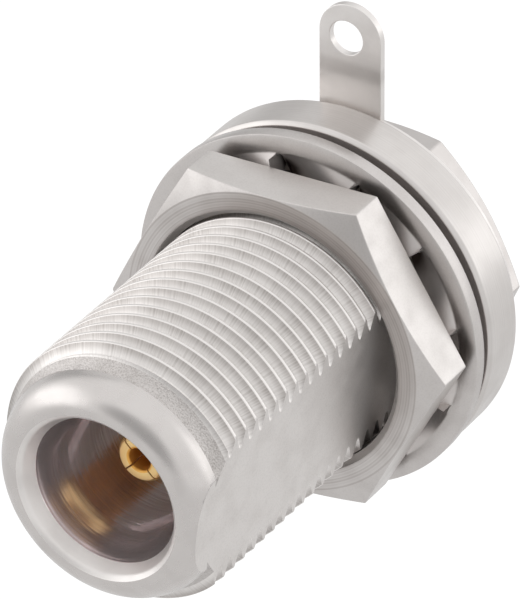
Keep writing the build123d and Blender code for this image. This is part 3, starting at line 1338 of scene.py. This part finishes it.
FINISHES: dict[str, tuple[Finish, ...]] = {
    "outer_body": (
        MetalFinish(
            "satin_nose", roughness=0.24, dulling=0.10, line_spacing=0.2, line_height=0.0008,
            grain_height=0.0015, wave_size=2.2, wave_height=0.022),
        MetalFinish(
            "blasted_cone", stain_share=0.2, speckle=0.55, roughness=0.38, dulling=0.10,
            grain_size=0.10, grain_height=0.05),
        MetalFinish(
            # painted light: a paler copy of the plating's colour, with painted shade below
            "rolled_thread", colour=(0.81, 0.78, 0.76), line_stain=0.22, metallic=0.9,
            roughness=0.33, lay=Lay.TICKS, line_spacing=0.13, line_height=0.012, patchy=0.6,
            grain_height=0.0015, painted_light=(
                PaintedLight(Lay.RADIUS, 7.32, 7.84, 0.62),          # painted shade, darker up the flanks
                PaintedLight(Lay.RADIUS, 7.84, 7.87, -1.00),         # painted highlight: stains and painted shade cleared on the crests
                # painted shade on the thread behind the nut, fixed to the barrel
                PaintedLight(Lay.STATION, NUT_REAR - 0.1, NUT_REAR, 0.9),
            )),
        MetalFinish(
            # painted light: the flat in a paler copy of the plating
            "milled_flat", colour=LIGHTER_PAINTED_SILVER, speckle=0.12, metallic=0.72, roughness=0.40,
            dulling=0.12, lay=Lay.LENGTH, line_spacing=0.5, line_height=0.0016, grain_size=0.14,
            grain_height=0.004),
        MetalFinish(
            # painted light: a paler copy of the plating, so the bore reads lighter
            "bored_wall", colour=(0.84, 0.78, 0.78), stain_and_shade=(0.5, 0.45, 0.45), line_stain=0.25,
            metallic=0.88, roughness=0.13, line_spacing=0.22, line_height=0.010),
        MetalFinish("turned_flange", roughness=0.32, line_spacing=0.1, line_height=0.0010),
        MetalFinish(
            # painted light: a paler copy of the plating
            "lip_chamfer", colour=(0.78, 0.75, 0.73), metallic=0.72, roughness=0.34,
            line_spacing=0.1, line_height=0.0010),
    ),
    "hex_nut": (
        MetalFinish(
            "faced_nut", stain_and_shade=(0.30, 0.26, 0.24), line_stain=0.30, roughness=0.35,
            lay=Lay.RADIUS, line_spacing=0.13, line_height=0.0040,
            # painted shade on the nut's rear face
            painted_light=(PaintedLight(Lay.STATION, NUT_REAR - 0.1, NUT_REAR, 0.5),)),
        MetalFinish(
            # painted light: the hexagon's sides in a paler copy of the plating
            "drawn_hexagon", colour=LIGHTER_PAINTED_SILVER, speckle=0.08, roughness=0.35, lay=Lay.UPRIGHT,
            line_spacing=0.25, line_height=0.0008, grain_size=0.14, grain_height=0.003,
            wave_height=0.006),
        MetalFinish(
            "tapped_bore", metallic=0.75, roughness=0.38, line_spacing=1.058, line_height=0.15),
        MetalFinish(
            "coned_corners", speckle=0.10, roughness=0.35, lay=Lay.RADIUS, line_spacing=0.13,
            line_height=0.0020, grain_size=0.14, grain_height=0.003),
    ),
    "lock_washer": (
        MetalFinish(
            "sheet_edge", speckle=0.10, roughness=0.35, line_spacing=0.15, line_height=0.0020,
            grain_size=0.14, grain_height=0.004),
        MetalFinish(
            "twisted_teeth", colour=(0.66, 0.62, 0.60), stain_and_shade=(0.12, 0.09, 0.08), metallic=0.8,
            roughness=0.42, dulling=0.04, grain_height=0.001,
            # painted shade: the teeth's lowered halves darken towards the near-black colour
            painted_light=(PaintedLight(Lay.STATION, WASHER_MIDDLE - 0.20, WASHER_MIDDLE + 0.25, 1.0),)),
    ),
    "panel_ring": (
        MetalFinish(
            # painted light: a paler copy of the plating
            "turned_ring", colour=(0.70, 0.67, 0.65), line_stain=0.10, roughness=0.33,
            line_spacing=0.10, line_height=0.0030),
        MetalFinish(
            # painted shade: a darker copy of the plating on the ring's faced ends
            "faced_ring", colour=(0.56, 0.51, 0.49), metallic=0.8, roughness=0.45,
            lay=Lay.RADIUS, line_spacing=0.12, line_height=0.0024),
    ),
    "ground_lug": (
        MetalFinish(
            # painted light: a paler copy of the plating
            "stamped_lug", colour=(0.80, 0.77, 0.75), roughness=0.30, lay=Lay.LENGTH,
            line_spacing=0.3, line_height=0.0008, wave_size=4.0, wave_height=0.012, painted_light=(
                # painted shade below this line and painted highlight above it
                PaintedLight(Lay.LENGTH, LUG_PAINTED_BAND - 0.8, LUG_PAINTED_BAND - 0.1, 0.28),
                PaintedLight(Lay.LENGTH, LUG_PAINTED_BAND + 0.1, LUG_PAINTED_BAND + 0.7, -0.28),
            )),
    ),
    "centre_contact": (
        MetalFinish(
            "gold_plate", colour=GOLD, stain_and_shade=(1.0, 0.40, 0.03), stain_share=0.12, metallic=0.68,
            roughness=0.27, line_spacing=0.1, line_height=0.0012, painted_light=(
                # painted reflection: behind the tip the stem turns a deeper orange, gold mirrored
                # in gold inside the bore; cleared again further back
                PaintedLight(Lay.STATION, CONTACT_TIP + 0.15, CONTACT_TIP + 0.8, 0.9),
                PaintedLight(Lay.STATION, CONTACT_TIP + 5.0, CONTACT_TIP + 6.0, -0.8),
            )),
        MetalFinish(
            # painted shade: a darker, deeper orange copy of the gold for the socket's inner wall
            "gold_socket", colour=(0.95, 0.52, 0.12), stain_and_shade=(0.75, 0.36, 0.06), stain_share=0.4,
            metallic=0.6, roughness=0.35, line_spacing=0.1),
    ),
    "front_insulator": (PlasticFinish("front_bead"),),
    "rear_insulator": (PlasticFinish("rear_bead"),),
    "retaining_bush": (
        MetalFinish(
            "pressed_bush", colour=(0.62, 0.58, 0.52), roughness=0.34, lay=Lay.RADIUS,
            line_spacing=0.1, line_height=0.001),
    ),
}


def dress_solid(node: str) -> bpy.types.Object:
    """Gives a CAD node that stays its one finish.

    Args:
        node: the node's name.

    Returns:
        The node's object.
    """
    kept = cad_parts[node]
    kept.data.materials.clear()
    kept.data.materials.append(FINISHES[node][0].material())
    return kept


# --- Studio ---


@dataclass(frozen=True)
class Card:
    """A soft patch of light or shade round the set."""

    direction: Direction
    level: float
    full: float              # half angle inside which it has its full level
    fade: float              # half angle at which it has faded out


@dataclass(frozen=True)
class Stand:
    """Where the camera stands, in millimetres, and how it is turned."""

    place: Direction = (177.75484, -296.51657, 218.36573)
    right: Direction = (0.85452276, 0.51937711, -0.00618645)
    up: Direction = (-0.27312684, 0.45943827, 0.84517347)
    back: Direction = (0.44180605, -0.72053028, 0.53445629)
    lens: float = 431.97
    sensor_width: float = 36.0


@dataclass
class Studio:
    """Pale floor, soft light from all round and the camera."""

    floor_height: float = -45.0
    floor_half: float = 900.0
    paper: float = 0.82
    lit_level: float = 1.12          # at which the camera sees most of the paper
    lit_share: float = 0.8
    mirrored_level: float = 0.86     # at which polished faces see it
    level: float = 1.02
    stand: Stand = Stand()
    cards: tuple[Card, ...] = (
        Card((-0.60, 0.72, 0.35), 0.55, 16, 38),
        Card((-0.47, 0.72, 0.51), 0.85, 8, 20),
        Card((0.04, -0.95, 0.30), 0.50, 14, 36),
        Card((0.62, 0.72, 0.28), 1.55, 22, 46),
        Card((0.24, 0.72, 0.65), 1.05, 18, 40),
        Card((-0.91, -0.41, 0.10), 1.7, 18, 40),
        Card((0.0, -0.1, 1.0), 1.05, 20, 48),
    )

    def world(self) -> None:
        """The light all round the set, which the camera sees as white."""
        world = bpy.data.worlds.new("studio")
        bpy.context.scene.world = world
        graph = Graph(world)
        ray = graph.node("ShaderNodeTexCoord", {}, {}).outputs["Generated"]
        light: Term = self.level
        for card in self.cards:
            inputs = {0: ray, 1: Vector(card.direction).normalized()}
            towards = Value(graph, graph.node(
                "ShaderNodeVectorMath", {"operation": "DOT_PRODUCT"}, inputs).outputs["Value"])
            share = towards.step(cos(radians(card.fade)), cos(radians(card.full)))
            light = light + share * (card.level - light)
        path = graph.node("ShaderNodeLightPath", {}, {})
        white = {"Color": (1, 1, 1, 1)}
        around = graph.node("ShaderNodeBackground", {}, {**white, "Strength": light})
        backdrop = graph.node("ShaderNodeBackground", {}, {**white, "Strength": 1.0})
        mixed = graph.node("ShaderNodeMixShader", {}, {
            0: path.outputs["Is Camera Ray"], 1: around.outputs[0], 2: backdrop.outputs[0]})
        graph.node("ShaderNodeOutputWorld", {}, {"Surface": mixed.outputs[0]})

    def floor(self) -> None:
        """The pale floor, which the camera sees as white but for the jack's shadow."""
        mesh = bmesh.new()
        bmesh.ops.create_grid(mesh, x_segments=1, y_segments=1, size=self.floor_half * MM)
        mesh.transform(Matrix.Translation((0, 0, self.floor_height * MM)))
        made = solid("floor", mesh)
        material = bpy.data.materials.new("pale_paper")
        graph = Graph(material)
        path = graph.node("ShaderNodeLightPath", {}, {})
        seen = Value(graph, path.outputs["Is Camera Ray"])
        mirrored = Value(graph, path.outputs["Is Glossy Ray"])
        paper = graph.node("ShaderNodeBsdfDiffuse", {}, {"Color": (*[self.paper] * 3, 1)})
        white = graph.node(
            "ShaderNodeEmission", {}, {"Color": (1, 1, 1, 1), "Strength": self.lit_level})
        grey = graph.node(
            "ShaderNodeEmission", {}, {"Color": (*[self.mirrored_level] * 3, 1), "Strength": 1.0})
        lit = graph.node("ShaderNodeMixShader", {}, {
            0: seen * self.lit_share, 1: paper.outputs[0], 2: white.outputs[0]})
        both = graph.node("ShaderNodeMixShader", {}, {
            0: mirrored, 1: lit.outputs[0], 2: grey.outputs[0]})
        graph.node("ShaderNodeOutputMaterial", {}, {"Surface": both.outputs[0]})
        made.data.materials.append(material)

    def camera(self) -> None:
        """The camera in front of the jack, to its right and above."""
        stand = self.stand
        data = bpy.data.cameras.new("camera")
        data.lens, data.sensor_width = stand.lens, stand.sensor_width
        data.clip_start, data.clip_end = 0.01, 10.0
        camera = bpy.data.objects.new("camera", data)
        bpy.context.scene.collection.objects.link(camera)
        turn = Matrix((stand.right, stand.up, stand.back)).transposed().to_4x4()
        camera.matrix_world = Matrix.Translation(Vector(stand.place) * MM) @ turn
        bpy.context.scene.camera = camera

    def build(self) -> None:
        """Sets up the whole studio."""
        self.world()
        self.floor()
        self.camera()
        bpy.context.scene.view_settings.view_transform = "Standard"


def report(made: bpy.types.Object) -> None:
    """Says in the log what a piece is made of.

    Args:
        made: the piece.
    """
    triangles = sum(len(face.vertices) - 2 for face in made.data.polygons)
    log.info("%s: %d triangles, %d finishes", made.name, triangles, len(made.data.materials))


def main() -> None:
    """Builds the jack piece by piece, then its studio."""
    logging.basicConfig(level=logging.INFO, format="%(message)s")
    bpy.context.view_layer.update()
    for piece in (OuterBody(), HexNut(), LockWasher(), PanelRing(), GroundLug(), CentreContact()):
        report(piece.build())
    for node in ("front_insulator", "rear_insulator", "retaining_bush"):
        report(dress_solid(node))
    studio = Studio()
    studio.build()
    log.info("studio: %d cards of light and shade", len(studio.cards))


if __name__ == "__main__":
    main()
